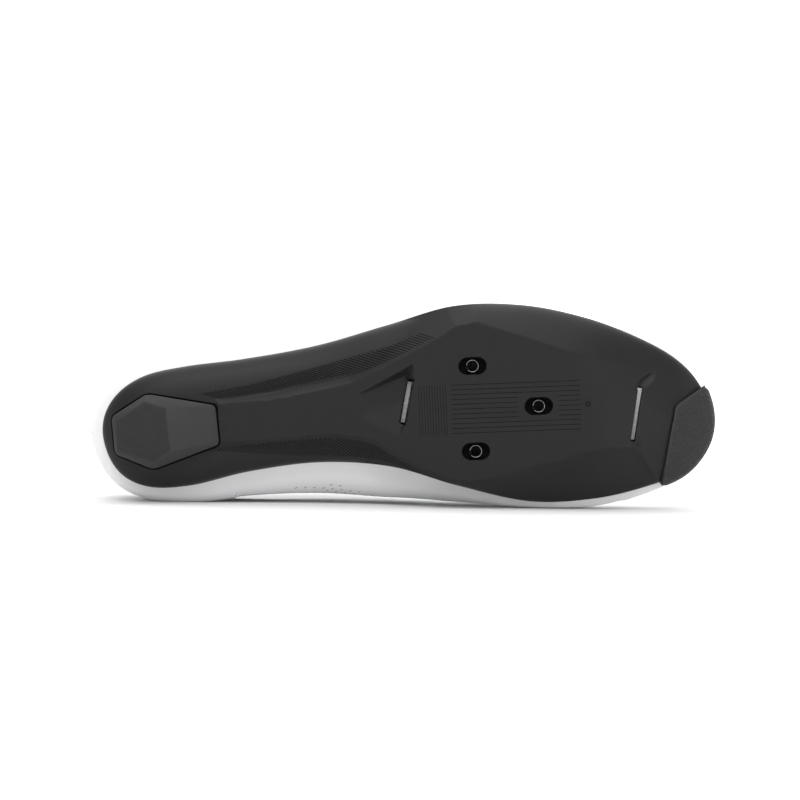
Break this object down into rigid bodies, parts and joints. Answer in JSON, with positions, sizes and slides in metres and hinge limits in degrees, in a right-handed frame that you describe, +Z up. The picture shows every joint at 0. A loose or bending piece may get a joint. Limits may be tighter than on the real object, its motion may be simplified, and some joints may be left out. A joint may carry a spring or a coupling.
{
  "type": "road cycling shoe",
  "caption": "Low-cut road cycling shoe with a stiff dark sole, three-bolt cleat slots, heel pad, toe bumper and a white strapped upper, lying on its inner side.",
  "frame": {"origin": "centre of the object's box in plan, on the floor that the shoe lies on", "axes": "+X from heel to toe, -Y the way the sole faces, +Z up; the shoe lies on its inner (medial) side"},
  "size_m": [0.261, 0.1026, 0.0852],
  "materials": {
    "synthetic_upper": "satin",
    "sole_composite": "satin",
    "tread_rubber": "matte",
    "vent_mesh": "matte",
    "lining": "matte",
    "tongue_fabric": "matte",
    "strap": "satin",
    "steel": "satin"
  },
  "bodies": {
    "root": {"outsole": "sole_composite", "heel_pad": "tread_rubber", "toe_bumper": "tread_rubber", "cleat_nut_plate": "steel", "vent_mesh_mid": "vent_mesh", "vent_mesh_toe": "vent_mesh", "insole": "lining", "upper": "synthetic_upper", "tongue": "tongue_fabric", "strap_front": "strap", "strap_instep": "strap"}
  },
  "joints": []
}
